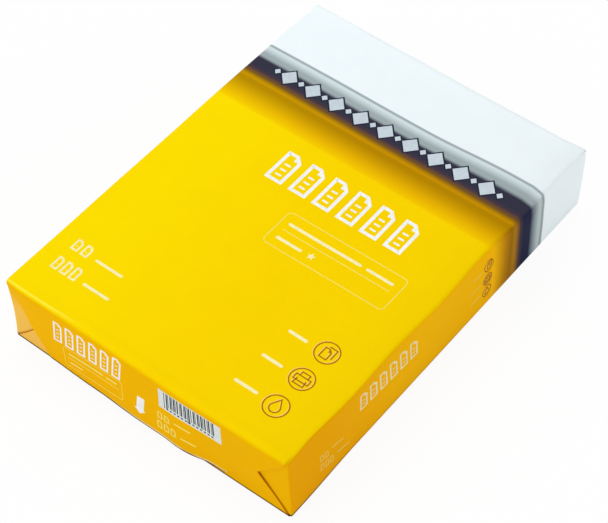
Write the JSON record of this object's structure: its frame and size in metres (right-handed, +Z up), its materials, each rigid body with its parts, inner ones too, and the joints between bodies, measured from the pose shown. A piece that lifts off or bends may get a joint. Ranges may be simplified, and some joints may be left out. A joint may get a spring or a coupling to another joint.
{
  "type": "ream of paper",
  "caption": "Sealed pack of A4 office paper lying flat: a stack of sheets in one glued wrapper with folded, slightly bowed ends and soft edges.",
  "frame": {"origin": "middle of the pack's underside, on the surface that it lies on", "axes": "+Z up, +Y along the sheets' long side away from the near end, +X along their short side"},
  "size_m": [0.2124, 0.3022, 0.0508],
  "materials": {
    "wrapper": "satin"
  },
  "bodies": {
    "root": {"wrapped_ream": "wrapper"}
  },
  "joints": []
}
